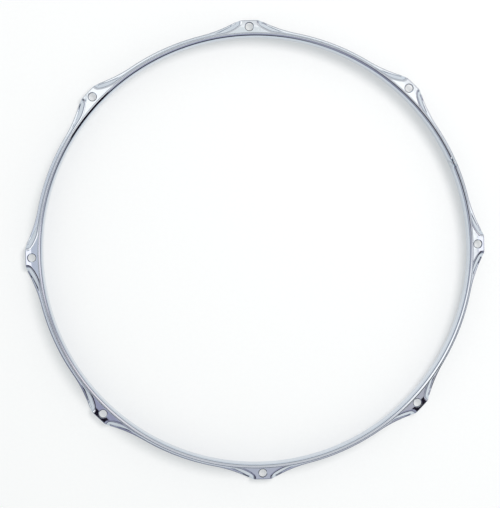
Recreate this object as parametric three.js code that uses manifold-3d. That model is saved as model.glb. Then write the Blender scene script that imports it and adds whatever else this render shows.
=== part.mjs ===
// Triple-flanged steel drum hoop with eight pressed ears, lying with its rim up.
// One strip of sheet steel is pressed to its section, rolled into a ring and butt welded.
// Millimetres, +Z up along the hoop's axis, origin on the axis in the plane of the bottom flange.

import * as THREE from "three";
import { mergeVertices } from "three/addons/utils/BufferGeometryUtils.js";
import Module from "manifold-3d";

// The sheet and the ring that it is rolled into
const sheetThickness = 2.3;
const wallInnerRadius = 181.1;
const hoopHeight = 25.5;
const edgeRounding = 0.6;
const bendRadius = 1.9;
const bendLeastSetback = 0.8;
const bendLegShare = 0.488;

// The top flange, a short lip rolled over outwards, with a rounded bend for the sticks to hit
const rimLeanDegrees = 70.0;
const rimLip = 1.7;
const rimBendRadius = 2.25;
const rimLegShare = 0.95;

// The shoulder that presses on the drumhead's own hoop, and the collar round it
const shoulderHeight = 11.5;
const shoulderStep = 4.7;
const collarDraft = 0.2;

// The bottom flange between the ears
const flangeLip = 2.3;

// The ears, drawn up from the bottom flange to the level of the shoulder
const earCount = 8;
const earProjection = 6.6;
const earPadWidth = 13.0;
const earGussetRun = 4.4;
const earApronRun = 11.0;
const earApronShare = 0.18;
const earCreaseOffset = 0.5;
const earCreaseRun = 17.0;
const earCreaseLand = 1.8;
const earWingOffset = 4.7;
const earWingRun = 30.5;
const earFootInset = 2.0;
const earCornerSoftness = 1.5;

// The round hole in each ear for a tension rod
const rodHoleDiameter = 7.0;
const rodHoleEdgeDistance = 5.7;
const cutOverrun = 2.0;

// The butt weld, half way between two ears
const weldWidth = 1.8;
const weldClearance = 0.3;

// Counts of facets
const bendSteps = 2;
const earSteps = 9;
const plainSteps = 2;
const holeSides = 24;
const earStationCrowding = 1.7;
const normalStepDegrees = 0.05;

// Sizes that follow from the driving ones
const halfSheet = sheetThickness / 2;
const wallRadius = wallInnerRadius + halfSheet;
const rimLean = THREE.MathUtils.degToRad(rimLeanDegrees);
const collarRadius = wallRadius + shoulderStep;
const flangeReach = collarRadius + halfSheet + flangeLip;
const earReach = flangeReach + earProjection;
const rodHoleCircleRadius = earReach - rodHoleEdgeDistance;
const shoulderLevel = shoulderHeight - halfSheet;
const flangeLevel = halfSheet;
const earPitch = (2 * Math.PI) / earCount;
const halfPitchArc = (rodHoleCircleRadius * earPitch) / 2;
const weldAngle = earPitch / 2;

const wasm = await Module();
wasm.setup();

// Share that is 1 up to a start and eases along a cosine to 0 over a run.
function fade(distance, start, run) {
  const share = THREE.MathUtils.clamp((distance - start) / run, 0, 1);
  return (1 + Math.cos(Math.PI * share)) / 2;
}

// Share that is 1 near the middle, turns down in a rounded corner and runs out to 0 as a parabola.
function taper(distance, start, run) {
  const beyond = distance - start;
  const way = (beyond + Math.hypot(beyond, earCornerSoftness)) / 2;
  return (1 - THREE.MathUtils.clamp(way / run, 0, 1)) ** 2;
}

// Distance along the circle of rod holes from an angle to the middle of the nearest ear.
function arcFromEar(angle) {
  const turns = angle / earPitch;
  return Math.abs(turns - Math.round(turns)) * earPitch * rodHoleCircleRadius;
}

// Corners of the sheet's middle line, as radius and height, from the rim down to the outer edge.
// Between the ears it steps out, drops down the collar and turns out into the flange. Towards an
// ear the collar leans out to a skirt that follows the flaring edge. At the ear itself the foot
// and the edge rise to the shoulder's level and make one flat pad with it.
function sectionCorners(angle) {
  const arc = arcFromEar(angle);
  const padHalfWidth = earPadWidth / 2;
  const gusset = fade(arc, padHalfWidth, earGussetRun);
  const apron = fade(arc, padHalfWidth, earApronRun);
  const lift = THREE.MathUtils.lerp(gusset, apron, earApronShare);
  const crease = taper(arc, padHalfWidth + earCreaseOffset, earCreaseRun);
  const flare = taper(arc, padHalfWidth + earWingOffset, earWingRun);
  const edgeLevel = THREE.MathUtils.lerp(flangeLevel, shoulderLevel, lift);
  const reach = flangeReach + earProjection * flare;
  const plainInset = flangeReach - collarRadius - collarDraft;
  const footRadius = reach - THREE.MathUtils.lerp(plainInset, earFootInset, Math.sqrt(flare));
  const earCrease = earReach - earFootInset - earCreaseLand;
  const rimRun = rimLip * Math.sin(rimLean);
  const rimRise = rimLip * Math.cos(rimLean);
  const rimEdgeLevel = hoopHeight - halfSheet * Math.sin(rimLean);
  return [
    new THREE.Vector2(wallRadius + rimRun, rimEdgeLevel),
    new THREE.Vector2(wallRadius, rimEdgeLevel - rimRise),
    new THREE.Vector2(wallRadius, shoulderLevel),
    new THREE.Vector2(THREE.MathUtils.lerp(collarRadius, earCrease, crease), shoulderLevel),
    new THREE.Vector2(footRadius, edgeLevel),
    new THREE.Vector2(reach - edgeRounding, edgeLevel),
  ];
}

// Points and tangents along the middle line, with each inner corner bent round.
function sectionLine(angle) {
  const corners = sectionCorners(angle);
  const last = corners.length - 1;
  const direction = (i) => corners[i + 1].clone().sub(corners[i]).normalize();
  const line = [{ point: corners[0], tangent: direction(0) }];
  for (let i = 1; i < last; i++) {
    const turn = direction(i - 1).angleTo(direction(i));
    const wanted = (i === 1 ? rimBendRadius : bendRadius) * Math.tan(turn / 2);
    const before = corners[i].distanceTo(corners[i - 1]) * (i === 1 ? rimLegShare : bendLegShare);
    const after = corners[i].distanceTo(corners[i + 1]) * bendLegShare;
    const setback = Math.min(Math.max(wanted, bendLeastSetback), before, after);
    const start = corners[i].clone().addScaledVector(direction(i - 1), -setback);
    const end = corners[i].clone().addScaledVector(direction(i), setback);
    const bend = new THREE.QuadraticBezierCurve(start, corners[i], end);
    for (let k = 0; k <= bendSteps; k++) {
      line.push({ point: bend.getPoint(k / bendSteps), tangent: bend.getTangent(k / bendSteps) });
    }
  }
  line.push({ point: corners[last], tangent: direction(last - 1) });
  return line;
}

// A radius and a height at an angle round the axis, as a point in space.
function around(point, angle) {
  return new THREE.Vector3(point.x * Math.cos(angle), point.x * Math.sin(angle), point.y);
}

// The closed outline of the sheet at one angle: down the outside, round the edge, up the inside.
function sheetOutline(angle) {
  const step = THREE.MathUtils.degToRad(normalStepDegrees);
  const line = sectionLine(angle);
  const ahead = sectionLine(angle + step);
  const behind = sectionLine(angle - step);
  const outside = [];
  const inside = [];
  line.forEach(({ point, tangent }, j) => {
    const middle = around(point, angle);
    const along = around(ahead[j].point, angle + step).sub(around(behind[j].point, angle - step));
    const normal = around(tangent, angle).cross(along).normalize();
    outside.push(middle.clone().addScaledVector(normal, halfSheet));
    inside.push(middle.clone().addScaledVector(normal, -halfSheet));
  });
  const rim = line[0];
  const edge = line[line.length - 1];
  const rimEnd = around(rim.point.clone().addScaledVector(rim.tangent, -edgeRounding), angle);
  const edgeEnd = around(edge.point.clone().addScaledVector(edge.tangent, edgeRounding), angle);
  return [rimEnd, ...outside, edgeEnd, ...inside.reverse()];
}

// Skins the sheet's outlines at a run of angles into one closed solid with flat ends.
function pressedSheet(angles) {
  const outlines = angles.map(sheetOutline);
  const count = outlines[0].length;
  const positions = outlines.flat().flatMap((p) => p.toArray());
  const index = [];
  for (let i = 0; i + 1 < outlines.length; i++) {
    for (let j = 0; j < count; j++) {
      const here = i * count + j;
      const below = i * count + ((j + 1) % count);
      index.push(here, below, here + count);
      index.push(below, below + count, here + count);
    }
  }
  const flat = outlines[0].map((p) => new THREE.Vector2(Math.hypot(p.x, p.y), p.z));
  const lastStart = (outlines.length - 1) * count;
  for (const [a, b, c] of THREE.ShapeUtils.triangulateShape(flat, [])) {
    index.push(a, b, c);
    index.push(lastStart + a, lastStart + c, lastStart + b);
  }
  return new THREE.BufferGeometry()
    .setAttribute("position", new THREE.Float32BufferAttribute(positions, 3))
    .setIndex(index);
}

// Distances from an ear's middle at which the sheet is skinned, crowded where it is drawn up.
function stationArcs() {
  const nearest = earPadWidth / 2;
  const farthest = nearest + earWingOffset + earWingRun;
  const arcs = [];
  for (let i = 0; i <= earSteps; i++) {
    arcs.push(nearest + (farthest - nearest) * (i / earSteps) ** earStationCrowding);
  }
  for (let i = 1; i < plainSteps; i++) {
    arcs.push(THREE.MathUtils.lerp(farthest, halfPitchArc, i / plainSteps));
  }
  return arcs;
}

// Angles round the whole ring, from one side of the weld to the other.
function stripAngles() {
  const offsets = stationArcs().map((arc) => arc / rodHoleCircleRadius);
  const endGap = (weldWidth / 2 + weldClearance) / wallRadius;
  const angles = [weldAngle + endGap];
  for (let ear = 1; ear <= earCount; ear++) {
    const middle = ear * earPitch;
    angles.push(...offsets.toReversed().map((offset) => middle - offset));
    angles.push(...offsets.map((offset) => middle + offset));
    angles.push(middle + earPitch / 2 - (ear === earCount ? endGap : 0));
  }
  return angles;
}

function solidOf(geometry) {
  const bare = geometry.clone();
  bare.deleteAttribute("normal");
  bare.deleteAttribute("uv");
  const merged = mergeVertices(bare);
  const mesh = new wasm.Mesh({
    numProp: 3,
    vertProperties: merged.attributes.position.array,
    triVerts: new Uint32Array(merged.index.array),
  });
  return new wasm.Manifold(mesh);
}

function geometryOf(solid) {
  const mesh = solid.getMesh();
  return new THREE.BufferGeometry()
    .setAttribute("position", new THREE.BufferAttribute(mesh.vertProperties, mesh.numProp))
    .setIndex(new THREE.BufferAttribute(mesh.triVerts, 1));
}

// The pressed strip with a rod hole punched through the middle of each ear's pad.
function hoopStrip() {
  let strip = solidOf(pressedSheet(stripAngles()));
  const drill = new THREE.CylinderGeometry(
    rodHoleDiameter / 2,
    rodHoleDiameter / 2,
    sheetThickness + 2 * cutOverrun,
    holeSides,
  ).rotateX(Math.PI / 2);
  for (let ear = 0; ear < earCount; ear++) {
    const place = around(new THREE.Vector2(rodHoleCircleRadius, shoulderLevel), ear * earPitch);
    strip = strip.subtract(solidOf(drill.clone().translate(...place.toArray())));
  }
  return geometryOf(strip);
}

// The weld has the sheet's own section, dressed flush on both sides.
function weldSeam() {
  const half = weldWidth / 2 / wallRadius;
  return pressedSheet([weldAngle - half, weldAngle, weldAngle + half]);
}

const chromeMaterial = new THREE.MeshStandardMaterial({ color: 0xc9cfd8, roughness: 0.1, metalness: 1 });
const weldMaterial = new THREE.MeshStandardMaterial({ color: 0xbfc5ce, roughness: 0.25, metalness: 1 });

function named(name, geometry, material) {
  const mesh = new THREE.Mesh(geometry, material);
  mesh.name = name;
  return mesh;
}

const hoop = new THREE.Group();
hoop.name = "drum_hoop";
hoop.add(named("hoop_strip", hoopStrip(), chromeMaterial));
hoop.add(named("weld_seam", weldSeam(), weldMaterial));

export default hoop;
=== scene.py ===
"""A pressed steel drum hoop with eight ears, chrome plated, lying rim up on a white board.

The hoop is one strip of sheet, pressed to its section, rolled into a ring and welded. Its ears
are drawn out of the bottom flange up to the shoulder, so the sheet runs through them unbroken.
Lengths in the classes are millimetres in the CAD's own frame, and meshes are made in metres.
"""

import logging
import math
from dataclasses import dataclass, field
from enum import Enum
from typing import Any

import bpy
import numpy as np
from mathutils import Matrix, Quaternion, Vector


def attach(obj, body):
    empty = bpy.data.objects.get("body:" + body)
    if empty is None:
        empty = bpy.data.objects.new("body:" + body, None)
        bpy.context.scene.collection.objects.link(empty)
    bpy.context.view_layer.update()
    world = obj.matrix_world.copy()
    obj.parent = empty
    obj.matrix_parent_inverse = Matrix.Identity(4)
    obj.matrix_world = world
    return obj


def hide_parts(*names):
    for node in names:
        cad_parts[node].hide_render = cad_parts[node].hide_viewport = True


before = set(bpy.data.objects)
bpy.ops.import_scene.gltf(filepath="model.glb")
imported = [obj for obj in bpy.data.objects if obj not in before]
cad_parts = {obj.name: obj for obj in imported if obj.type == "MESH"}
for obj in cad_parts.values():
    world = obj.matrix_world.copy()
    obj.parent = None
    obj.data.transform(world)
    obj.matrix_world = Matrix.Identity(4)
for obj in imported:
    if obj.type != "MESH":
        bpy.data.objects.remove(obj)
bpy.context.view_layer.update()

MM = 0.001
IMAGE_SIZE = (500, 508)
WHITE = "#ffffff"
# The sockets of a Mix node that mixes colours, where names alone would be ambiguous.
MIX_SHARE, MIX_FIRST, MIX_SECOND, MIX_RESULT = 0, 6, 7, 2

Socket = bpy.types.NodeSocket

log = logging.getLogger("drum_hoop")


def linear(hex_colour: str, strength: float = 1.0) -> tuple[float, float, float, float]:
    """Turns an sRGB colour into the linear values that shaders take.

    Args:
        hex_colour: The colour as #rrggbb.
        strength: A factor for all three channels.

    Returns:
        Linear red, green and blue, and an alpha of 1.
    """
    # The numbers are those of the sRGB standard's own curve.
    channels = [int(hex_colour[i:i + 2], 16) / 255 for i in (1, 3, 5)]
    straight = [c / 12.92 if c <= 0.04045 else ((c + 0.055) / 1.055) ** 2.4 for c in channels]
    return (*(strength * c for c in straight), 1.0)


def add_node(
    tree: bpy.types.NodeTree,
    kind: str,
    settings: dict[str | int, Any] | None = None,
    links: dict[str | int, Socket] | None = None,
) -> bpy.types.Node:
    """Adds a node, sets its fields and sockets, and links other nodes' outputs into it.

    Args:
        tree: The node tree that gets the node.
        kind: Blender's name for the node's type.
        settings: Values by field name, or by an input's name or number.
        links: Output sockets by the name or number of the input that they feed.

    Returns:
        The new node.
    """
    node = tree.nodes.new(kind)
    for key, value in (settings or {}).items():
        if isinstance(key, str) and key in node.bl_rna.properties:
            setattr(node, key, value)
        else:
            node.inputs[key].default_value = value
    for key, socket in (links or {}).items():
        tree.links.new(socket, node.inputs[key])
    return node


def noise(tree: bpy.types.NodeTree, place: Socket, **settings: float) -> Socket:
    """Adds cloudy noise over a place, with settings by the node's own names."""
    return add_node(tree, "ShaderNodeTexNoise", settings, {"Vector": place}).outputs["Fac"]


def maths(tree: bpy.types.NodeTree, operation: str, first: Socket, second: Socket) -> Socket:
    """Works out one number from two, by the name of Blender's operation."""
    terms = {0: first, 1: second}
    return add_node(tree, "ShaderNodeMath", {"operation": operation}, terms).outputs[0]


def bare_material(name: str) -> tuple[bpy.types.Material, bpy.types.NodeTree]:
    """Makes a material without nodes.

    Args:
        name: The material's name.

    Returns:
        The material and its empty node tree.
    """
    material = bpy.data.materials.new(name)
    material.use_nodes = True
    material.node_tree.nodes.clear()
    return material, material.node_tree


def fade(distance: np.ndarray, start: float, run: float) -> np.ndarray:
    """Gives a share that is 1 up to a start and eases along a cosine to 0 over a run.

    Args:
        distance: Distances from the middle.
        start: Distance up to which the share stays 1.
        run: Length over which it falls to 0.

    Returns:
        The shares.
    """
    share = np.clip((distance - start) / run, 0.0, 1.0)
    return (1.0 + np.cos(np.pi * share)) / 2.0


def taper(distance: np.ndarray, start: float, run: float, softness: float) -> np.ndarray:
    """Gives a share that is 1 near the middle and runs out to 0 along a parabola.

    Args:
        distance: Distances from the middle.
        start: Distance at which the share turns down, in a rounded corner.
        run: Length over which it falls to 0.
        softness: Size of the rounding.

    Returns:
        The shares.
    """
    beyond = distance - start
    way = (beyond + np.sqrt(beyond ** 2 + softness ** 2)) / 2
    return (1.0 - np.clip(way / run, 0.0, 1.0)) ** 2


def unit(vectors: np.ndarray) -> np.ndarray:
    """Scales vectors along the last axis to a length of 1."""
    return vectors / np.linalg.norm(vectors, axis=-1, keepdims=True)


def around(places: np.ndarray, angles: np.ndarray) -> np.ndarray:
    """Turns radius and height into points in space at angles round the axis.

    Args:
        places: Radius and height, one row of them for each angle.
        angles: Angles in radians, one for each row.

    Returns:
        Points x, y, z in the same order.
    """
    turn = angles.reshape(-1, *([1] * (places.ndim - 2)))
    radius, height = places[..., 0], places[..., 1]
    return np.stack([radius * np.cos(turn), radius * np.sin(turn), height], axis=-1)


@dataclass
class Skin:
    """A surface made of points, each with its own normal, and the faces between them."""

    points: list[np.ndarray] = field(default_factory=list)
    normals: list[np.ndarray] = field(default_factory=list)
    cut_shares: list[np.ndarray] = field(default_factory=list)
    faces: list[list[int]] = field(default_factory=list)
    flat_faces: list[list[int]] = field(default_factory=list)
    count: int = 0

    def add_points(
        self, points: np.ndarray, normals: np.ndarray, cut_share: float | np.ndarray
    ) -> int:
        """Adds points to the skin.

        Args:
            points: The points in millimetres.
            normals: The surface's normal at each.
            cut_share: How far each lies on a cut edge, from 0 to 1.

        Returns:
            The number of the first point added.
        """
        first = self.count
        added = points.reshape(-1, 3)
        self.points.append(added)
        self.normals.append(normals.reshape(-1, 3))
        self.cut_shares.append(np.broadcast_to(cut_share, (len(added),)).astype(float))
        self.count += len(added)
        return first

    def to_object(self, name: str) -> bpy.types.Object:
        """Makes a smooth-shaded mesh object of the points that faces use.

        Args:
            name: The object's name.

        Returns:
            The object, linked to the scene.
        """
        faces = self.faces + self.flat_faces
        used = np.unique(np.concatenate([np.array(face) for face in faces]))
        renumber = np.full(self.count, -1)
        renumber[used] = np.arange(len(used))
        faces = [[int(renumber[i]) for i in face] for face in faces]
        points, cut_shares = (np.concatenate(a)[used] for a in (self.points, self.cut_shares))
        normals = unit(np.concatenate(self.normals))[used]
        mesh = bpy.data.meshes.new(name)
        mesh.from_pydata((points * MM).tolist(), [], faces)
        mesh.validate()
        mesh.polygons.foreach_set("use_smooth", [True] * len(mesh.polygons))
        corners = np.empty(len(mesh.loops), dtype=np.int32)
        mesh.loops.foreach_get("vertex_index", corners)
        corner_normals = normals[corners]
        for polygon in mesh.polygons[len(self.faces):]:
            start = polygon.loop_start
            corner_normals[start:start + polygon.loop_total] = polygon.normal
        mesh.normals_split_custom_set(corner_normals.tolist())
        share = mesh.attributes.new("cut_edge", "FLOAT", "POINT")
        share.data.foreach_set("value", cut_shares.astype(np.float32))
        made = bpy.data.objects.new(name, mesh)
        bpy.context.scene.collection.objects.link(made)
        return made


class SheetFace(Enum):
    """The two faces of the sheet, by the sign of their offset from its middle."""

    OUTSIDE = 1.0
    INSIDE = -1.0


@dataclass(frozen=True)
class PressedSection:
    """The sheet's section round the hoop, from the top flange down to the outer edge.

    Radii are from the hoop's axis and heights from the plane of the bottom flange.
    """

    thickness: float = 2.3
    wall_inner_radius: float = 181.1
    hoop_height: float = 25.5
    edge_roll: float = 1.0
    # Share of the cut edges' grey and roughness on the rounded edges, which paints some shade along
    # the rim.
    edge_cut_share: float = 0.25
    bend_radius: float = 1.9
    least_setback: float = 0.8
    leg_share: float = 0.488
    rim_leg_share: float = 0.95
    rim_lean_degrees: float = 70.0
    rim_lip: float = 1.7
    rim_bend_radius: float = 2.25
    shoulder_height: float = 11.5
    shoulder_step: float = 4.7
    collar_draft: float = 0.2
    flange_lip: float = 2.3
    ear_count: int = 8
    ear_projection: float = 6.6
    pad_width: float = 13.0
    gusset_run: float = 4.4
    apron_run: float = 11.0
    apron_share: float = 0.18
    wing_offset: float = 4.7
    wing_run: float = 30.5
    crease_offset: float = 0.5
    crease_run: float = 17.0
    corner_softness: float = 1.5
    foot_inset: float = 2.0
    crease_land: float = 1.8
    hole_edge_distance: float = 5.7
    pad_fall_degrees: float = 3.0
    pad_fall_start: float = 0.6
    pad_fall_softness: float = 0.8
    leg_steps: tuple[int, ...] = (2, 4, 8, 3, 2)
    bend_steps: tuple[int, ...] = (9, 8, 7, 7)
    cap_steps: int = 9
    normal_step: float = 0.001

    @property
    def half(self) -> float:
        """Half the sheet's thickness."""
        return self.thickness / 2

    @property
    def wall_radius(self) -> float:
        """Radius of the middle of the wall."""
        return self.wall_inner_radius + self.half

    @property
    def collar_radius(self) -> float:
        """Radius of the middle of the collar."""
        return self.wall_radius + self.shoulder_step

    @property
    def flange_reach(self) -> float:
        """Radius of the flange's edge between the ears."""
        return self.collar_radius + self.half + self.flange_lip

    @property
    def hole_circle(self) -> float:
        """Radius of the circle on which the rod holes lie."""
        return self.flange_reach + self.ear_projection - self.hole_edge_distance

    @property
    def pitch(self) -> float:
        """Angle from one ear to the next."""
        return 2 * math.pi / self.ear_count

    @property
    def line_count(self) -> int:
        """Number of points along one face of the sheet."""
        return sum(self.leg_steps) + sum(self.bend_steps) + 1

    @property
    def loop_count(self) -> int:
        """Number of points once round the sheet's outline."""
        return 2 * self.line_count + 2 * (self.cap_steps - 1)

    def corners(self, angles: np.ndarray) -> np.ndarray:
        """Places the corners of the sheet's middle line.

        Towards an ear the crease, the foot and the edge move out, and the foot and the edge
        rise to the level of the shoulder.

        Args:
            angles: Angles round the hoop.

        Returns:
            Six pairs of radius and height for each angle, from the rim down.
        """
        arc = self.ear_arc(angles)
        pad_half = self.pad_width / 2
        gusset = fade(arc, pad_half, self.gusset_run)
        apron = fade(arc, pad_half, self.apron_run)
        lift = (1 - self.apron_share) * gusset + self.apron_share * apron
        crease = taper(arc, pad_half + self.crease_offset, self.crease_run, self.corner_softness)
        flare = taper(arc, pad_half + self.wing_offset, self.wing_run, self.corner_softness)
        shoulder = self.shoulder_height - self.half
        level = self.half + (shoulder - self.half) * lift
        reach = self.flange_reach + self.ear_projection * flare
        plain_inset = self.flange_reach - self.collar_radius - self.collar_draft
        foot = reach - plain_inset + (plain_inset - self.foot_inset) * np.sqrt(flare)
        ear_crease = self.flange_reach + self.ear_projection - self.foot_inset - self.crease_land
        whole = np.ones_like(arc)
        lean = math.radians(self.rim_lean_degrees)
        rim_run, rim_rise = self.rim_lip * math.sin(lean), self.rim_lip * math.cos(lean)
        edge_rise = math.hypot(self.half * math.sin(lean), self.edge_roll * math.cos(lean))
        rim_level = self.hoop_height - edge_rise
        radii = [
            (self.wall_radius + rim_run) * whole,
            self.wall_radius * whole,
            self.wall_radius * whole,
            self.collar_radius + (ear_crease - self.collar_radius) * crease,
            foot,
            reach - self.edge_roll,
        ]
        heights = [
            rim_level * whole,
            (rim_level - rim_rise) * whole,
            shoulder * whole,
            shoulder * whole,
            level,
            level,
        ]
        return np.stack([np.stack(radii, axis=-1), np.stack(heights, axis=-1)], axis=-1)

    def ear_arc(self, angles: np.ndarray) -> np.ndarray:
        """Measures along the hole circle from each angle to the middle of the nearest ear."""
        turns = angles / self.pitch
        return np.abs(turns - np.round(turns)) * self.pitch * self.hole_circle

    def pad_fall(self, radius: np.ndarray) -> tuple[np.ndarray, np.ndarray]:
        """Lets an ear's pad hang a little beyond its hole's middle, as the press leaves it.

        Args:
            radius: Distances from the hoop's axis in millimetres.

        Returns:
            How far the pad falls at each, and the slope of the fall.
        """
        beyond = radius - (self.hole_circle + self.pad_fall_start)
        reach = np.sqrt(beyond ** 2 + self.pad_fall_softness ** 2)
        steepest = math.tan(math.radians(self.pad_fall_degrees))
        return steepest * (beyond + reach) / 2, steepest * (1 + beyond / reach) / 2

    def middle_line(self, angles: np.ndarray) -> tuple[np.ndarray, np.ndarray]:
        """Follows the sheet's middle line, with each inner corner bent round as an arc.

        Args:
            angles: Angles round the hoop.

        Returns:
            Points and unit tangents as radius and height, in the same steps at every angle.
        """
        corners = self.corners(angles)
        legs = corners[:, 1:] - corners[:, :-1]
        lengths = np.linalg.norm(legs, axis=-1)
        ways = unit(legs)
        radii = [self.rim_bend_radius] + [self.bend_radius] * (len(self.bend_steps) - 1)
        setbacks = [np.zeros_like(angles)]
        for i, radius in enumerate(radii, start=1):
            turn = np.arccos(np.clip((ways[:, i - 1] * ways[:, i]).sum(axis=-1), -1.0, 1.0))
            wanted = np.maximum(radius * np.tan(turn / 2), self.least_setback)
            before = lengths[:, i - 1] * (self.rim_leg_share if i == 1 else self.leg_share)
            setbacks.append(np.minimum.reduce([wanted, before, lengths[:, i] * self.leg_share]))
        setbacks.append(np.zeros_like(angles))
        points, tangents = [], []
        for i, steps in enumerate(self.leg_steps):
            start = corners[:, i] + ways[:, i] * setbacks[i][:, None]
            end = corners[:, i + 1] - ways[:, i] * setbacks[i + 1][:, None]
            for k in range(steps):
                points.append(start + (end - start) * (k / steps))
                tangents.append(ways[:, i])
            if i < len(self.bend_steps):
                bend_points, bend_tangents = self.bend_arc(
                    corners[:, i + 1], ways[:, i], ways[:, i + 1], setbacks[i + 1],
                    self.bend_steps[i],
                )
                points.extend(bend_points)
                tangents.extend(bend_tangents)
        points.append(corners[:, -1])
        tangents.append(ways[:, -1])
        line, slope = np.stack(points, axis=1), np.stack(tangents, axis=1)
        on_pad = fade(self.ear_arc(angles), self.pad_width / 2, self.gusset_run)[:, None]
        fall, fall_slope = self.pad_fall(line[..., 0])
        line[..., 1] -= on_pad * fall
        slope[..., 1] -= on_pad * fall_slope * slope[..., 0]
        return line, unit(slope)

    @staticmethod
    def bend_arc(
        corner: np.ndarray, before: np.ndarray, after: np.ndarray, setback: np.ndarray, steps: int
    ) -> tuple[list[np.ndarray], list[np.ndarray]]:
        """Bends a corner round as a circular arc, without its last point.

        Args:
            corner: The corner at each angle.
            before: Unit direction of the leg that runs into it.
            after: Unit direction of the leg that runs out of it.
            setback: Distance from the corner to the ends of the arc.
            steps: Number of steps along the arc.

        Returns:
            The arc's points and unit tangents, step by step.
        """
        start = corner - before * setback[:, None]
        end = corner + after * setback[:, None]
        turn = np.clip((before * after).sum(axis=-1), -1.0, 1.0)
        weight = np.sqrt((1.0 + turn) / 2.0)[:, None]
        points, tangents = [], []
        for k in range(steps):
            t = k / steps
            near = ((1 - t) * start + t * weight * corner) / ((1 - t) + t * weight)
            far = ((1 - t) * weight * corner + t * end) / ((1 - t) * weight + t)
            near_weight = (1 - t) * ((1 - t) + t * weight)
            far_weight = t * ((1 - t) * weight + t)
            points.append((near * near_weight + far * far_weight) / (near_weight + far_weight))
            tangents.append(unit(far - near))
        return points, tangents

    def outlines(
        self, angles: np.ndarray, swell: np.ndarray | float = 0.0
    ) -> tuple[np.ndarray, np.ndarray, np.ndarray]:
        """Gives the sheet's closed outline at each angle: over the rim, down outside, up inside.

        Args:
            angles: Angles round the hoop.
            swell: How far each outline stands proud of the sheet's own surface.

        Returns:
            Points, normals and cut-edge shares, one row for each angle.
        """
        line, slope = self.middle_line(angles)
        ahead, behind = (
            around(self.middle_line(near)[0], near)
            for near in (angles + self.normal_step, angles - self.normal_step)
        )
        middle = around(line, angles)
        tangent = around(slope, angles)
        normal = unit(np.cross(tangent, ahead - behind))
        swell_row = np.broadcast_to(swell, angles.shape)[:, None, None]
        half = self.half + swell_row
        roll = self.edge_roll + swell_row
        turn = np.linspace(-math.pi / 2, math.pi / 2, self.cap_steps + 1)[1:-1]
        cap_points, cap_normals = [], []
        for end, sign in ((slice(0, 1), 1.0), (slice(-1, None), -1.0)):
            across = sign * np.sin(turn)[None, :, None]
            along = sign * np.cos(turn)[None, :, None]
            n, t = normal[:, end], tangent[:, end]
            cap_points.append(middle[:, end] + half * across * n - roll * along * t)
            cap_normals.append(unit(across / half * n - along / roll * t))
        outside, inside = (middle + side.value * half * normal for side in SheetFace)
        plain = np.zeros(self.line_count)
        cut = self.edge_cut_share * np.sin(np.linspace(0, math.pi, self.cap_steps + 1))[1:-1]
        return (
            np.concatenate([cap_points[0], outside, cap_points[1], inside[:, ::-1]], axis=1),
            np.concatenate([cap_normals[0], normal, cap_normals[1], -normal[:, ::-1]], axis=1),
            np.tile(np.concatenate([cut, plain, cut, plain]), (len(angles), 1)),
        )

    def loop_place(self, step: int, side: SheetFace) -> int:
        """Gives where a step of the middle line lies in the outline, on one face of the sheet.

        Args:
            step: The number of the step, counted from the rim.
            side: The face of the sheet.

        Returns:
            The number of the point in the outline.
        """
        if side is SheetFace.OUTSIDE:
            return self.cap_steps - 1 + step
        return 2 * (self.cap_steps - 1) + 2 * self.line_count - 1 - step

    def skin(self, angles: np.ndarray, swell: np.ndarray | float = 0.0) -> Skin:
        """Skins the outlines' points, without faces.

        Args:
            angles: Angles round the hoop.
            swell: How far each outline stands proud of the sheet's own surface.

        Returns:
            The skin.
        """
        made = Skin()
        points, normals, cut_shares = self.outlines(angles, swell)
        made.add_points(points, normals, cut_shares.reshape(-1))
        return made

    def cells(self, stations: int) -> np.ndarray:
        """Lists the faces between the outlines at neighbouring angles.

        Args:
            stations: Number of angles.

        Returns:
            Four point numbers for each face, as an array of stations by places in the outline.
        """
        rows = np.arange(stations - 1)[:, None] * self.loop_count
        places = np.arange(self.loop_count)[None, :]
        here, below = rows + places, rows + (places + 1) % self.loop_count
        return np.stack([here, below, below + self.loop_count, here + self.loop_count], axis=-1)

    def end_faces(self, station: int, first: bool) -> list[list[int]]:
        """Closes the outline at one angle with flat faces across the sheet.

        Args:
            station: The number of the angle.
            first: Whether this is the first angle, whose end faces backwards.

        Returns:
            The faces as lists of point numbers.
        """
        start = station * self.loop_count
        outside, inside = (
            [start + self.loop_place(j, side) for j in range(self.line_count)]
            for side in SheetFace
        )
        rim, edge = (
            [before + j for j in range(self.cap_steps - 1)] for before in (start, outside[-1] + 1)
        )
        faces = [[inside[0], *rim, outside[0]], [outside[-1], *edge, inside[-1]]]
        faces += [
            [outside[j], outside[j + 1], inside[j + 1], inside[j]]
            for j in range(self.line_count - 1)
        ]
        return faces if first else [face[::-1] for face in faces]


@dataclass(frozen=True)
class HoleRing:
    """One ring of points on the way down through a rod hole.

    Its offset is measured outwards from the hole's own radius and its drop down from the pad.
    Its turn is how far its normal leans from upright, towards the hole's middle, and its cut
    share is 1 on sheared metal.
    """

    offset: float
    drop: float
    turn: float
    cut_share: float = 0.0


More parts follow.
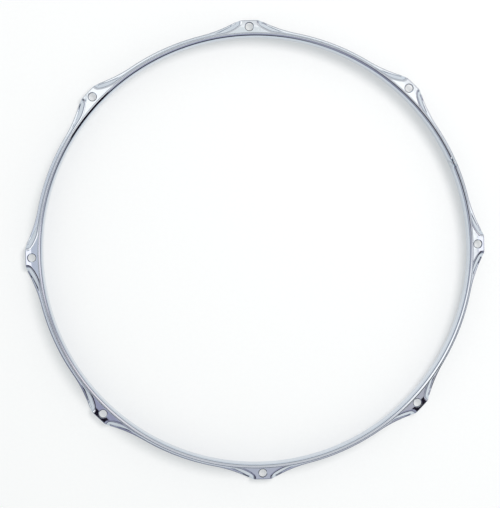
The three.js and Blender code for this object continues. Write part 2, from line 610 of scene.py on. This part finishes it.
@dataclass
class PressedStrip:
    """The strip itself, from one side of the weld round to the other, with its punched ears.

    The punch draws the sheet in round each rod hole, as a small funnel with soft edges.
    """

    section: PressedSection = field(default_factory=PressedSection)
    hole_diameter: float = 6.6
    hole_funnel: float = 0.60
    hole_funnel_degrees: float = 46.0
    hole_softness: float = 0.08
    hole_bottom_roll: float = 0.15
    patch_half_width: float = 4.7
    patch_first_step: int = 26
    patch_last_step: int = 50
    pad_stations: int = 6
    drawn_stations: int = 39
    drawn_end: float = 42.0
    plain_stations: int = 6
    end_gap: float = 1.2

    def station_angles(self) -> np.ndarray:
        """Spaces the angles at which the sheet is skinned, close together on the ears.

        Returns:
            The angles in order, from one end of the strip to the other.
        """
        s = self.section
        half_pitch = s.pitch / 2
        patch, drawn = self.patch_half_width, self.drawn_end
        offsets = np.concatenate([
            np.linspace(0, patch, self.pad_stations, endpoint=False),
            np.linspace(patch, drawn, self.drawn_stations, endpoint=False),
            np.linspace(drawn, s.hole_circle * half_pitch, self.plain_stations, endpoint=False),
        ]) / s.hole_circle
        ear = np.concatenate([[-half_pitch], -offsets[::-1], offsets[1:]])
        angles = np.concatenate([ear + i * s.pitch for i in range(1, s.ear_count + 1)])
        gap = self.end_gap / s.wall_radius
        return np.concatenate([[angles[0] + gap], angles[1:], [half_pitch + 2 * math.pi - gap]])

    def build(self) -> bpy.types.Object:
        """Skins the strip and punches its holes.

        Returns:
            The strip's object.
        """
        s = self.section
        angles = self.station_angles()
        skin = s.skin(angles)
        cells = s.cells(len(angles))
        kept = np.ones(cells.shape[:2], dtype=bool)
        points = skin.points[0]
        for ear in range(1, s.ear_count + 1):
            middle = int(np.argmin(np.abs(angles - ear * s.pitch)))
            rows = range(middle - self.pad_stations, middle + self.pad_stations)
            for side in SheetFace:
                low, high = sorted(
                    s.loop_place(j, side) for j in (self.patch_first_step, self.patch_last_step)
                )
                kept[rows.start:rows.stop, low:high] = False
            self.punch(skin, points, ear * s.pitch, rows)
        skin.faces = cells[kept].tolist() + skin.faces
        skin.flat_faces = s.end_faces(0, True) + s.end_faces(len(angles) - 1, False)
        return skin.to_object("pressed_hoop")

    def hole_rings(self) -> tuple[HoleRing, ...]:
        """Steps down the funnel and the sheared wall of a hole, from the pad to the underside.

        Returns:
            The rings in order.
        """
        lean = math.radians(self.hole_funnel_degrees)
        soft = self.hole_softness
        soft_depth = soft * math.tan(lean)
        depth = self.hole_funnel * math.tan(lean)
        thickness = self.section.thickness
        return (
            HoleRing(self.hole_funnel + soft, 0.0, 0.0),
            HoleRing(self.hole_funnel - soft, soft_depth, lean),
            HoleRing(soft, depth - soft_depth, lean),
            HoleRing(0.0, depth + soft, math.pi / 2, cut_share=1.0),
            HoleRing(0.0, thickness - self.hole_bottom_roll, math.pi / 2, cut_share=1.0),
            HoleRing(self.hole_bottom_roll, thickness, math.pi),
        )

    def punch(self, skin: Skin, points: np.ndarray, angle: float, rows: range) -> None:
        """Lines a rod hole, from the edge of its patch on the pad through to the underside.

        Args:
            skin: The skin that gets the hole's points and faces.
            points: The sheet's own points.
            angle: The ear's angle.
            rows: The stations that the patch runs across.
        """
        s = self.section
        first, last = self.patch_first_step, self.patch_last_step
        border = [(i, first) for i in range(rows.start, rows.stop)]
        border += [(rows.stop, j) for j in range(first, last)]
        border += [(i, last) for i in range(rows.stop, rows.start, -1)]
        border += [(rows.start, j) for j in range(last, first, -1)]
        top, bottom = (
            [i * s.loop_count + s.loop_place(j, side) for i, j in border] for side in SheetFace
        )
        up = np.array([0.0, 0.0, 1.0])
        out = np.array([math.cos(angle), math.sin(angle), 0.0])
        along = np.array([-math.sin(angle), math.cos(angle), 0.0])
        centre = out * s.hole_circle
        bearings = np.arctan2((points[top] - centre) @ along, (points[top] - centre) @ out)
        spokes = np.cos(bearings)[:, None] * out + np.sin(bearings)[:, None] * along
        rings = [top]
        for step in self.hole_rings():
            ring = centre + (self.hole_diameter / 2 + step.offset) * spokes
            fall, slope = s.pad_fall(np.linalg.norm(ring, axis=-1))
            height = s.shoulder_height - step.drop - fall
            level = math.cos(step.turn) * (up + slope[:, None] * out)
            start = skin.add_points(
                ring + height[:, None] * up, level - math.sin(step.turn) * spokes, step.cut_share
            )
            rings.append(list(range(start, start + len(spokes))))
        rings.append(bottom)
        for upper, lower in zip(rings, rings[1:]):
            for k in range(len(spokes)):
                following = (k + 1) % len(spokes)
                skin.faces.append([upper[k], lower[k], lower[following], upper[following]])


@dataclass
class WeldWitness:
    """The butt weld that closes the ring, ground flush and plated over, half way between ears."""

    section: PressedSection = field(default_factory=PressedSection)
    width: float = 2.6
    crown: float = 0.012
    rise: float = 0.006
    stations: int = 13

    def build(self) -> bpy.types.Object:
        """Skins the weld across both strip ends, a hair proud of the sheet.

        Returns:
            The weld's object.
        """
        s = self.section
        places = np.linspace(-1.0, 1.0, self.stations)
        angles = s.pitch / 2 + places * self.width / 2 / s.wall_radius
        swell = self.rise + (self.crown - self.rise) * np.cos(places * math.pi / 2) ** 2
        skin = s.skin(angles, swell)
        skin.faces = s.cells(len(angles)).reshape(-1, 4).tolist()
        skin.flat_faces = s.end_faces(0, True) + s.end_faces(len(angles) - 1, False)
        return skin.to_object("dressed_weld_line")


@dataclass(frozen=True)
class ChromePlate:
    """Bright chrome over buffed steel.

    It mirrors its surroundings, a little soft from buffing lines that run round the hoop, with
    smudges, a slow waviness and shallow marks left by the press tools, and dark grey cut edges,
    whose colour is partly thin plating and partly painted shade in the holes and along the rim.
    """

    name: str = "chrome_plate_over_buffed_steel"
    colour: str = "#cdd6de"
    shade: str = "#c3ccd8"
    # Dark grey of the cut edges: partly thin plating, partly painted shade in the holes and on the
    # rim.
    sheared_grey_and_shade: str = "#4a4e58"
    roughness: float = 0.045
    edge_roughness: float = 0.10
    smudge_roughness: float = 0.05
    smudge_range: tuple[float, float] = (0.45, 0.75)
    smudge_size: float = 22.0
    line_spacing: float = 1.1
    line_run: float = 45.0
    line_depth: float = 0.0005
    wave_length: float = 16.0
    wave_depth: float = 0.012
    mark_size: float = 3.5
    mark_depth: float = 0.03
    pad_radius: float = 187.5
    pad_radius_run: float = 1.0
    pad_level: float = 11.3
    pad_level_run: float = 0.5

    def build(self) -> bpy.types.Material:
        """Makes the material's nodes.

        Returns:
            The material.
        """
        material, tree = bare_material(self.name)
        place = add_node(tree, "ShaderNodeTexCoord").outputs["Object"]
        flat = add_node(tree, "ShaderNodeVectorMath",
                        {"operation": "MULTIPLY", 1: (1.0, 1.0, 0.0)}, {0: place}).outputs[0]
        radius = add_node(tree, "ShaderNodeVectorMath",
                          {"operation": "LENGTH"}, {0: flat}).outputs["Value"]
        height = add_node(tree, "ShaderNodeSeparateXYZ", links={0: place}).outputs["Z"]
        cut = add_node(tree, "ShaderNodeAttribute", {"attribute_name": "cut_edge"}).outputs["Fac"]
        smudges = noise(tree, place, Scale=1 / (self.smudge_size * MM), Detail=5.0, Roughness=0.65)
        dull = add_node(
            tree, "ShaderNodeMapRange",
            {"From Min": self.smudge_range[0], "From Max": self.smudge_range[1],
             "To Min": self.roughness, "To Max": self.roughness + self.smudge_roughness},
            {"Value": smudges},
        )
        rough = add_node(tree, "ShaderNodeMath",
                         {"operation": "MULTIPLY_ADD", 1: self.edge_roughness},
                         {0: cut, 2: dull.outputs["Result"]})
        tint = add_node(
            tree, "ShaderNodeMix",
            {"data_type": "RGBA", MIX_FIRST: linear(self.colour), MIX_SECOND: linear(self.shade)},
            {MIX_SHARE: smudges},
        )
        # Plating is thin and grey on the sheared edges of the holes and the rim, and this dark grey
        #         # is also painted shade, which darkens the hole walls and the rim's edge.
        worn_and_shaded = add_node(tree, "ShaderNodeMix",
                        {"data_type": "RGBA", MIX_SECOND: linear(self.sheared_grey_and_shade)},
                        {MIX_SHARE: cut, MIX_FIRST: tint.outputs[MIX_RESULT]})
        waves = noise(tree, place, Scale=1 / (self.wave_length * MM), Detail=1.5)
        wavy = add_node(tree, "ShaderNodeBump", {"Distance": self.wave_depth * MM},
                        {"Height": waves})
        marks = noise(tree, place, Scale=1 / (self.mark_size * MM), Detail=1.0)
        marked = add_node(
            tree, "ShaderNodeBump", {"Distance": self.mark_depth * MM},
            {"Strength": self.pad_mask(tree, radius, height), "Height": marks,
             "Normal": wavy.outputs["Normal"]},
        )
        buffed = add_node(
            tree, "ShaderNodeBump", {"Distance": self.line_depth * MM},
            {"Height": self.buffing(tree, flat, radius, height),
             "Normal": marked.outputs["Normal"]},
        )
        plate = add_node(
            tree, "ShaderNodeBsdfPrincipled", {"Metallic": 1.0},
            {"Base Color": worn_and_shaded.outputs[MIX_RESULT], "Roughness": rough.outputs[0],
             "Normal": buffed.outputs["Normal"]},
        )
        add_node(tree, "ShaderNodeOutputMaterial", links={"Surface": plate.outputs["BSDF"]})
        return material

    def buffing(
        self, tree: bpy.types.NodeTree, flat: Socket, radius: Socket, height: Socket
    ) -> Socket:
        """Draws the lines of the buffing wheel.

        Args:
            tree: The material's node tree.
            flat: The place on the hoop, without its height.
            radius: The place's distance from the axis.
            height: The place's height.

        Returns:
            How high the sheet stands, from 0 to 1.
        """
        # Radius and height together count the lines across the sheet, whichever way it faces.
        across = maths(tree, "ADD", radius, height)
        count = add_node(tree, "ShaderNodeMath",
                         {"operation": "DIVIDE", 1: self.line_spacing * MM}, {0: across})
        run = add_node(tree, "ShaderNodeVectorMath",
                       {"operation": "SCALE", "Scale": 1 / (self.line_run * MM)}, {0: flat})
        along = add_node(tree, "ShaderNodeSeparateXYZ", links={0: run.outputs[0]})
        line_place = add_node(
            tree, "ShaderNodeCombineXYZ",
            links={0: along.outputs["X"], 1: along.outputs["Y"], 2: count.outputs[0]},
        )
        # Buffing grit leaves lines far finer than this spacing, which is as fine as shows.
        return noise(tree, line_place.outputs[0], Scale=1.0, Detail=3.0, Roughness=0.6)

    def pad_mask(self, tree: bpy.types.NodeTree, radius: Socket, height: Socket) -> Socket:
        """Finds the ears' pads, the only level sheet outside the collar.

        Args:
            tree: The material's node tree.
            radius: The place's distance from the axis.
            height: The place's height.

        Returns:
            A share that is 1 on the pads.
        """
        beyond = add_node(
            tree, "ShaderNodeMapRange",
            {"From Min": self.pad_radius * MM,
             "From Max": (self.pad_radius + self.pad_radius_run) * MM},
            {"Value": radius},
        )
        above = add_node(
            tree, "ShaderNodeMapRange",
            {"From Min": (self.pad_level - self.pad_level_run) * MM,
             "From Max": self.pad_level * MM},
            {"Value": height},
        )
        return maths(tree, "MULTIPLY", beyond.outputs["Result"], above.outputs["Result"])


@dataclass(frozen=True)
class GroundWeld:
    """Chrome over a weld that was ground flush, with grinding lines across it.

    The plating follows the grinding, so it looks a little greyer and less sharp than the sheet.
    """

    name: str = "chrome_plate_over_ground_weld"
    colour: str = "#c8d0d8"
    roughness: float = 0.07
    line_spacing: float = 0.5
    line_squeeze: float = 0.15
    line_depth: float = 0.0006

    def build(self) -> bpy.types.Material:
        """Makes the material's nodes.

        Returns:
            The material.
        """
        material, tree = bare_material(self.name)
        place = add_node(tree, "ShaderNodeTexCoord").outputs["Object"]
        stretched = add_node(tree, "ShaderNodeMapping",
                             {"Scale": (self.line_squeeze, self.line_squeeze, 1.0)},
                             {"Vector": place})
        lines = noise(tree, stretched.outputs["Vector"], Scale=1 / (self.line_spacing * MM),
                      Detail=4.0)
        rough = add_node(tree, "ShaderNodeMapRange",
                         {"To Min": self.roughness, "To Max": 2 * self.roughness},
                         {"Value": lines})
        ground = add_node(tree, "ShaderNodeBump", {"Distance": self.line_depth * MM},
                          {"Height": lines})
        plate = add_node(tree, "ShaderNodeBsdfPrincipled",
                         {"Base Color": linear(self.colour), "Metallic": 1.0},
                         {"Roughness": rough.outputs["Result"], "Normal": ground.outputs["Normal"]})
        add_node(tree, "ShaderNodeOutputMaterial", links={"Surface": plate.outputs["BSDF"]})
        return material


@dataclass(frozen=True)
class MattBoard:
    """White card with a matt, faintly fibrous face, which takes soft shadows.

    Part of the white that the eye and the chrome see is the board's own, so its shadows are pale.
    """

    name: str = "matt_white_card"
    colour: str = "#fcfdfd"
    fibre: str = "#f8f9fa"
    fibre_size: float = 3.0
    roughness: float = 0.95
    own_white: float = 0.32

    def build(self) -> bpy.types.Material:
        """Makes the material's nodes.

        Returns:
            The material.
        """
        material, tree = bare_material(self.name)
        place = add_node(tree, "ShaderNodeTexCoord").outputs["Object"]
        fibres = noise(tree, place, Scale=1 / (self.fibre_size * MM), Detail=4.0)
        tint = add_node(
            tree, "ShaderNodeMix",
            {"data_type": "RGBA", MIX_FIRST: linear(self.colour), MIX_SECOND: linear(self.fibre)},
            {MIX_SHARE: fibres},
        )
        card = add_node(tree, "ShaderNodeBsdfPrincipled",
                        {"Roughness": self.roughness, "Specular IOR Level": 0.0},
                        {"Base Color": tint.outputs[MIX_RESULT]})
        white = add_node(tree, "ShaderNodeEmission", {"Color": linear(WHITE)})
        path = add_node(tree, "ShaderNodeLightPath")
        clear = maths(tree, "MAXIMUM", path.outputs["Is Camera Ray"],
                      path.outputs["Is Transmission Ray"])
        seen = maths(tree, "MAXIMUM", clear, path.outputs["Is Glossy Ray"])
        own = add_node(tree, "ShaderNodeMath", {"operation": "MULTIPLY", 1: self.own_white},
                       {0: seen})
        face = add_node(tree, "ShaderNodeMixShader",
                        links={0: own.outputs[0], 1: card.outputs["BSDF"], 2: white.outputs[0]})
        add_node(tree, "ShaderNodeOutputMaterial", links={"Surface": face.outputs[0]})
        return material


@dataclass(frozen=True)
class RoomPatch:
    """A soft round lamp, pale wall or dark corner of the studio, which only the chrome mirrors.

    Its place is an angle down from straight overhead and a bearing round the hoop's axis, in
    degrees. Its radius and the run of its soft edge are lengths on a sky of radius 1.
    """

    tilt: float
    bearing: float
    radius: float
    edge: float
    colour: str
    strength: float = 1.0

    def mask(self, tree: bpy.types.NodeTree, way: Socket) -> Socket:
        """Finds where the patch is seen.

        Args:
            tree: The world's node tree.
            way: The direction in which a ray leaves.

        Returns:
            A share that is 1 inside the patch.
        """
        tilt, bearing = math.radians(self.tilt), math.radians(self.bearing)
        level = math.sin(tilt)
        middle = (level * math.cos(bearing), level * math.sin(bearing), math.cos(tilt))
        apart = add_node(tree, "ShaderNodeVectorMath", {"operation": "DISTANCE", 1: middle},
                         {0: way})
        inside = add_node(
            tree, "ShaderNodeMapRange",
            {"interpolation_type": "SMOOTHSTEP", "From Min": self.radius,
             "From Max": self.radius + self.edge, "To Min": 1.0, "To Max": 0.0},
            {"Value": apart.outputs["Value"]},
        )
        return inside.outputs["Result"]


@dataclass(frozen=True)
class WallPanel:
    """A dark screen or opening in the studio's walls, which only the chrome mirrors.

    It runs from the floor up between two soft upright sides. Its bearing, half its width and
    the run of its edges are in degrees, and its top fades out between two heights on a sky
    of radius 1.
    """

    bearing: float
    half_width: float
    edge: float
    colour: str
    top: tuple[float, float]
    strength: float = 1.0

    def mask(self, tree: bpy.types.NodeTree, way: Socket) -> Socket:
        """Finds where the panel is seen.

        Args:
            tree: The world's node tree.
            way: The direction in which a ray leaves.

        Returns:
            A share that is 1 inside the panel.
        """
        turn = math.radians(self.bearing)
        flat = add_node(tree, "ShaderNodeVectorMath",
                        {"operation": "MULTIPLY", 1: (1.0, 1.0, 0.0)}, {0: way})
        level = add_node(tree, "ShaderNodeVectorMath", {"operation": "NORMALIZE"},
                         {0: flat.outputs[0]})
        along = add_node(tree, "ShaderNodeVectorMath",
                         {"operation": "DOT_PRODUCT", 1: (math.cos(turn), math.sin(turn), 0.0)},
                         {0: level.outputs[0]})
        outer = math.cos(math.radians(self.half_width + self.edge))
        inner = math.cos(math.radians(self.half_width))
        sides = add_node(
            tree, "ShaderNodeMapRange",
            {"interpolation_type": "SMOOTHSTEP", "From Min": outer, "From Max": inner},
            {"Value": along.outputs["Value"]},
        )
        height = add_node(tree, "ShaderNodeSeparateXYZ", links={0: way})
        below = add_node(
            tree, "ShaderNodeMapRange",
            {"interpolation_type": "SMOOTHSTEP", "From Min": self.top[0],
             "From Max": self.top[1], "To Min": 1.0, "To Max": 0.0},
            {"Value": height.outputs["Z"]},
        )
        return maths(tree, "MULTIPLY", sides.outputs["Result"], below.outputs["Result"])


# Bearings run from the ear on the right towards the one at the top. Each shape covers those
# before it, and the patch 180 degrees down is a low dark band all round the horizon.
ROOM = (
    RoomPatch(tilt=30.4, bearing=110.0, radius=0.622, edge=0.057, colour="#fff9f2", strength=1.7),
    RoomPatch(tilt=28.8, bearing=-128.8, radius=0.145, edge=0.420, colour="#191645"),
    RoomPatch(tilt=84.6, bearing=-61.6, radius=0.459, edge=0.510, colour="#0c0a12"),
    RoomPatch(tilt=55.3, bearing=77.2, radius=0.617, edge=0.212, colour="#f0ecea"),
    RoomPatch(tilt=37.3, bearing=-69.7, radius=0.196, edge=0.388, colour="#bdbacc"),
    RoomPatch(tilt=20.4, bearing=-28.4, radius=0.097, edge=0.031, colour="#72676e"),
    RoomPatch(tilt=4.8, bearing=76.6, radius=0.032, edge=0.030, colour="#83a0ac"),
    RoomPatch(tilt=44.6, bearing=0.3, radius=0.130, edge=0.030, colour="#fff3f5", strength=1.6),
    RoomPatch(tilt=15.1, bearing=152.9, radius=0.062, edge=0.043, colour="#bcc4cc"),
    RoomPatch(tilt=54.7, bearing=36.5, radius=0.112, edge=0.207, colour="#fff1ef", strength=1.48),
    RoomPatch(tilt=85.1, bearing=-123.9, radius=0.265, edge=0.148, colour="#8c88a8"),
    RoomPatch(tilt=6.5, bearing=-160.4, radius=0.078, edge=0.030, colour="#e4e5ef"),
    RoomPatch(tilt=32.3, bearing=19.3, radius=0.136, edge=0.099, colour="#a8a1a8"),
    RoomPatch(tilt=83.0, bearing=-158.9, radius=0.241, edge=0.095, colour="#edeaf2"),
    RoomPatch(tilt=14.0, bearing=-81.0, radius=0.065, edge=0.040, colour="#d7d5de"),
    RoomPatch(tilt=9.2, bearing=-122.0, radius=0.032, edge=0.030, colour="#b8b5ca"),
    RoomPatch(tilt=12.0, bearing=-43.0, radius=0.030, edge=0.030, colour="#d7d1d6"),
    RoomPatch(tilt=8.0, bearing=77.0, radius=0.012, edge=0.030, colour="#fffdf8", strength=1.15),
    RoomPatch(tilt=15.0, bearing=-125.5, radius=0.055, edge=0.020, colour="#1c1825"),
    RoomPatch(tilt=18.2, bearing=-42.4, radius=0.055, edge=0.020, colour="#17141d"),
    RoomPatch(tilt=36.0, bearing=-150.0, radius=0.210, edge=0.100, colour="#0e0c14"),
    RoomPatch(tilt=16.5, bearing=-3.0, radius=0.035, edge=0.030, colour="#fff8fb", strength=1.6),
    RoomPatch(tilt=13.0, bearing=-172.0, radius=0.045, edge=0.030, colour="#fff8fb", strength=1.6),
    RoomPatch(tilt=180.0, bearing=0.0, radius=1.500, edge=0.080, colour="#5c5a6a"),
    WallPanel(bearing=-40.4, half_width=7.0, edge=0.6, colour="#241f2b", top=(0.957, 0.970)),
)


@dataclass
class Studio:
    """The white board, the lamp, the room that the chrome mirrors, and the camera overhead."""

    board_size: float = 8000.0
    board_cells: int = 8
    board_drop: float = 0.05
    key_place: tuple[float, float, float] = (380.0, 380.0, 1450.0)
    key_size: float = 620.0
    key_power: float = 11.4
    key_colour: str = "#fffaf8"
    ambient: float = 0.65
    shade_tint: str = "#f8fdfd"
    walls: str = "#cfcdd5"
    room: tuple[RoomPatch | WallPanel, ...] = ROOM
    camera_place: tuple[float, float, float] = (-49.0, 33.9, 1200.0)
    camera_turn_degrees: tuple[float, float, float] = (-1.72, -2.13, -1.77)
    focal_pixels: float = 1390.3
    sensor: float = 36.0

    def lay_board(self) -> None:
        """Lays the board on which the hoop rests, a hair below it."""
        half = self.board_size / 2 * MM
        steps = np.linspace(-half, half, self.board_cells + 1)
        row = len(steps)
        corners = [j * row + i for j in range(self.board_cells) for i in range(self.board_cells)]
        mesh = bpy.data.meshes.new("white_board")
        mesh.from_pydata([(x, y, 0.0) for y in steps for x in steps], [],
                         [[k, k + 1, k + row + 1, k + row] for k in corners])
        mesh.materials.append(MattBoard().build())
        board = bpy.data.objects.new("white_board", mesh)
        bpy.context.scene.collection.objects.link(board)
        board.location.z = -self.board_drop * MM

    def hang_lamp(self) -> None:
        """Hangs the soft key lamp high over the upper right of the board."""
        light = bpy.data.lights.new("key_softbox", "AREA")
        light.shape = "DISK"
        light.size = self.key_size * MM
        light.energy = self.key_power
        light.color = linear(self.key_colour)[:3]
        lamp = bpy.data.objects.new("key_softbox", light)
        bpy.context.scene.collection.objects.link(lamp)
        lamp.location = Vector(self.key_place) * MM
        lamp.rotation_mode = "QUATERNION"
        lamp.rotation_quaternion = (-lamp.location).to_track_quat("-Z", "Y")
        lamp.visible_glossy = False

    def paint_room(self) -> None:
        """Gives the world its light, the white that the camera sees, and the mirrored room."""
        world = bpy.data.worlds.new("studio_room")
        bpy.context.scene.world = world
        world.use_nodes = True
        tree = world.node_tree
        tree.nodes.clear()
        way = add_node(tree, "ShaderNodeTexCoord").outputs["Generated"]
        room = add_node(tree, "ShaderNodeRGB")
        room.outputs[0].default_value = linear(self.walls)
        colour = room.outputs[0]
        for part in self.room:
            shape = {"data_type": "RGBA", MIX_SECOND: linear(part.colour, part.strength)}
            over = {MIX_SHARE: part.mask(tree, way), MIX_FIRST: colour}
            colour = add_node(tree, "ShaderNodeMix", shape, over).outputs[MIX_RESULT]
        mirrored = add_node(tree, "ShaderNodeBackground", links={"Color": colour})
        ambient = add_node(tree, "ShaderNodeBackground",
                           {"Color": linear(self.shade_tint), "Strength": self.ambient})
        white = add_node(tree, "ShaderNodeBackground", {"Color": linear(WHITE)})
        path = add_node(tree, "ShaderNodeLightPath")
        # The board is lit by the plain ambient light, also by way of the chrome.
        direct = add_node(tree, "ShaderNodeMath", {"operation": "LESS_THAN", 1: 0.5},
                          {0: path.outputs["Diffuse Depth"]})
        in_metal = maths(tree, "MULTIPLY", path.outputs["Is Glossy Ray"], direct.outputs[0])
        lit = add_node(tree, "ShaderNodeMixShader",
                       links={0: in_metal, 1: ambient.outputs[0], 2: mirrored.outputs[0]})
        clear = maths(tree, "MAXIMUM", path.outputs["Is Camera Ray"],
                      path.outputs["Is Transmission Ray"])
        seen = add_node(tree, "ShaderNodeMixShader",
                        links={0: clear, 1: lit.outputs[0], 2: white.outputs[0]})
        add_node(tree, "ShaderNodeOutputWorld", links={"Surface": seen.outputs[0]})

    def set_camera(self) -> None:
        """Sets the camera nearly straight above the hoop, turned a little as in the photograph."""
        data = bpy.data.cameras.new("overhead_camera")
        data.sensor_width = self.sensor
        data.lens = self.focal_pixels / max(IMAGE_SIZE) * self.sensor
        camera = bpy.data.objects.new("overhead_camera", data)
        bpy.context.scene.collection.objects.link(camera)
        turn = Vector(math.radians(a) for a in self.camera_turn_degrees)
        turned = Quaternion(turn.normalized(), turn.length).to_matrix().to_4x4()
        camera.matrix_world = Matrix.Translation(Vector(self.camera_place) * MM) @ turned
        bpy.context.scene.camera = camera

    def build(self) -> None:
        """Builds the studio and sets how its light is shown."""
        self.set_camera()
        self.lay_board()
        self.hang_lamp()
        self.paint_room()
        bpy.context.scene.view_settings.view_transform = "Standard"


def fit(piece: bpy.types.Object, material: bpy.types.Material, node: str) -> None:
    """Dresses a piece and puts it in a CAD node's place.

    Args:
        piece: The new piece.
        material: Its material.
        node: The CAD node that it stands for.
    """
    piece.data.materials.append(material)
    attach(piece, "root")
    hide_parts(node)
    log.info("%s stands for %s: %d faces", piece.name, node, len(piece.data.polygons))


def main() -> None:
    """Builds the studio and the hoop's pieces."""
    logging.basicConfig(level=logging.INFO, format="%(message)s")
    Studio().build()
    fit(PressedStrip().build(), ChromePlate().build(), "hoop_strip")
    fit(WeldWitness().build(), GroundWeld().build(), "weld_seam")


if __name__ == "__main__":
    main()
